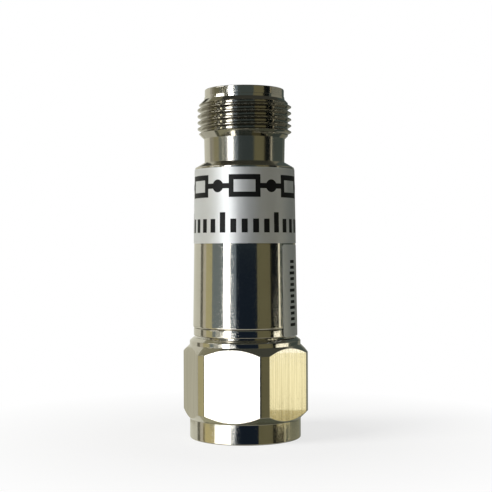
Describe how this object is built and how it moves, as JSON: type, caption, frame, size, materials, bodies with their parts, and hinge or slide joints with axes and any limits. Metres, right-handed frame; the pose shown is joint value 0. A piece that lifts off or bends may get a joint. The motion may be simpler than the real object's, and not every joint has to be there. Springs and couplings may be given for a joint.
{
  "type": "coaxial fixed attenuator",
  "caption": "Nickel-plated coaxial fixed attenuator: threaded jack, round barrel with foil labels and a plug with a free-turning hexagonal coupling nut.",
  "frame": {"origin": "centre of the coupling nut's open end, which is the lowest face", "axes": "+Z along the axis towards the jack, -Y towards the viewer of the picture"},
  "size_m": [0.021, 0.0208, 0.0586],
  "materials": {
    "nickel_body": "polished",
    "nickel_nut": "polished",
    "gold_contact": "polished",
    "outer_contact": "satin",
    "bead": "satin",
    "gasket": "matte",
    "spring_steel": "satin",
    "alumina": "matte",
    "carrier": "satin",
    "label_foil": "matte"
  },
  "bodies": {
    "body": {"barrel": "nickel_body", "jack_shell": "nickel_body", "jack_contact": "gold_contact", "jack_bead": "bead", "plug_shell": "nickel_body", "plug_outer_contact": "outer_contact", "plug_pin": "gold_contact", "plug_bead": "bead", "gasket": "gasket", "retaining_ring": "spring_steel", "attenuator_chip": "alumina", "carrier_front": "carrier", "carrier_back": "carrier", "rating_label": "label_foil", "serial_label": "label_foil"},
    "nut": {"coupling_nut": "nickel_nut"}
  },
  "joints": [
    {"name": "coupling_nut_turn", "type": "hinge", "parent": "body", "child": "nut", "pos_m": [0, 0, 0.015], "axis": [0, 0, 1], "continuous": true}
  ]
}
